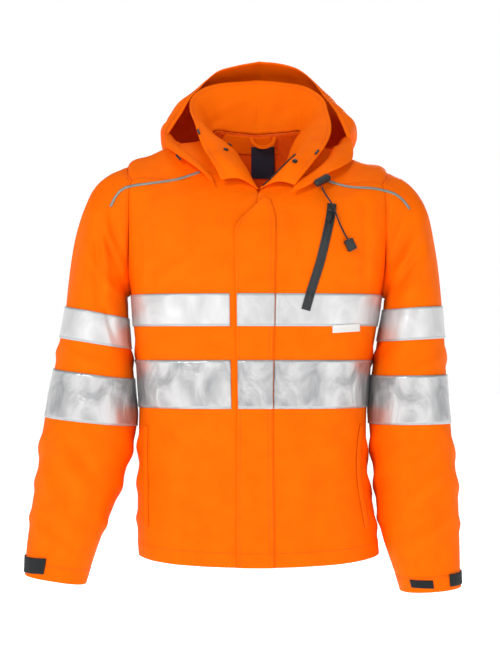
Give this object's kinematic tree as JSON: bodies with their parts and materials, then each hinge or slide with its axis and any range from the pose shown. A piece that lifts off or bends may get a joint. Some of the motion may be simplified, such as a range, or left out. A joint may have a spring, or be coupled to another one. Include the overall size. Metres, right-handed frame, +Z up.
{
  "type": "hi-vis work jacket",
  "caption": "Orange hi-vis work jacket with reflective tapes, folded-back collar and hood, filled out and hanging with its sleeves down.",
  "frame": {"origin": "the middle of the base of the neck, where a wearer's shoulders or a hanger hold the jacket", "axes": "+X towards the wearer's left, -Y out of the front, +Z up"},
  "size_m": [0.6873, 0.3364, 0.8461],
  "materials": {
    "back": "coated woven polyester, matt",
    "chest_pull": "moulded, satin",
    "chest_slider": "moulded, satin",
    "chest_zip": "coated zip tape",
    "collar": "coated woven polyester, matt",
    "collar_zip": "coated zip tape",
    "cord_end": "moulded, satin",
    "cord_lock": "moulded, satin",
    "cord_tail": "braided cord",
    "cuff_label": "woven label",
    "cuff_tab_left": "hook and loop",
    "cuff_tab_right": "hook and loop",
    "front_left": "coated woven polyester, matt",
    "front_right": "coated woven polyester, matt",
    "hanger_loop": "coated woven polyester, matt",
    "hood": "coated woven polyester, matt",
    "hood_cord": "braided cord",
    "hood_zip_end_left": "moulded, satin",
    "hood_zip_end_right": "moulded, satin",
    "neck_facing": "coated woven polyester, matt",
    "neck_label": "woven label",
    "piping_left": "silver retroreflective cloth",
    "piping_right": "silver retroreflective cloth",
    "pocket_welt_left": "coated woven polyester, matt",
    "pocket_welt_right": "coated woven polyester, matt",
    "saddle_left": "coated woven polyester, matt",
    "saddle_right": "coated woven polyester, matt",
    "sleeve_left": "coated woven polyester, matt",
    "sleeve_right": "coated woven polyester, matt",
    "storm_flap": "coated woven polyester, matt",
    "stud_edge": "black press stud",
    "stud_flap": "black press stud",
    "stud_right": "black press stud",
    "tape_chest_back": "silver retroreflective cloth",
    "tape_chest_flap": "silver retroreflective cloth",
    "tape_chest_left": "silver retroreflective cloth",
    "tape_chest_right": "silver retroreflective cloth",
    "tape_label": "woven label",
    "tape_sleeve_lower_left": "silver retroreflective cloth",
    "tape_sleeve_lower_right": "silver retroreflective cloth",
    "tape_sleeve_upper_left": "silver retroreflective cloth",
    "tape_sleeve_upper_right": "silver retroreflective cloth",
    "tape_waist_back": "silver retroreflective cloth",
    "tape_waist_flap": "silver retroreflective cloth",
    "tape_waist_left": "silver retroreflective cloth",
    "tape_waist_right": "silver retroreflective cloth"
  },
  "bodies": {
    "jacket": {"back": "back", "chest_slider": "chest_slider", "chest_zip": "chest_zip", "collar": "collar", "collar_zip": "collar_zip", "cord_end": "cord_end", "cord_lock": "cord_lock", "cord_tail": "cord_tail", "cuff_label": "cuff_label", "cuff_tab_left": "cuff_tab_left", "cuff_tab_right": "cuff_tab_right", "front_left": "front_left", "front_right": "front_right", "hanger_loop": "hanger_loop", "hood": "hood", "hood_cord": "hood_cord", "hood_zip_end_left": "hood_zip_end_left", "hood_zip_end_right": "hood_zip_end_right", "neck_facing": "neck_facing", "neck_label": "neck_label", "piping_left": "piping_left", "piping_right": "piping_right", "pocket_welt_left": "pocket_welt_left", "pocket_welt_right": "pocket_welt_right", "saddle_left": "saddle_left", "saddle_right": "saddle_right", "sleeve_left": "sleeve_left", "sleeve_right": "sleeve_right", "storm_flap": "storm_flap", "stud_edge": "stud_edge", "stud_flap": "stud_flap", "stud_right": "stud_right", "tape_chest_back": "tape_chest_back", "tape_chest_flap": "tape_chest_flap", "tape_chest_left": "tape_chest_left", "tape_chest_right": "tape_chest_right", "tape_label": "tape_label", "tape_sleeve_lower_left": "tape_sleeve_lower_left", "tape_sleeve_lower_right": "tape_sleeve_lower_right", "tape_sleeve_upper_left": "tape_sleeve_upper_left", "tape_sleeve_upper_right": "tape_sleeve_upper_right", "tape_waist_back": "tape_waist_back", "tape_waist_flap": "tape_waist_flap", "tape_waist_left": "tape_waist_left", "tape_waist_right": "tape_waist_right"},
    "zip_pull": {"chest_pull": "chest_pull"}
  },
  "joints": [
    {"name": "zip_pull_swing", "type": "hinge", "parent": "jacket", "child": "zip_pull", "pos_m": [0.11144, -0.11537, -0.08237], "axis": [-0.9704, 0.0277, 0.2401], "range_deg": [0, 100]}
  ]
}
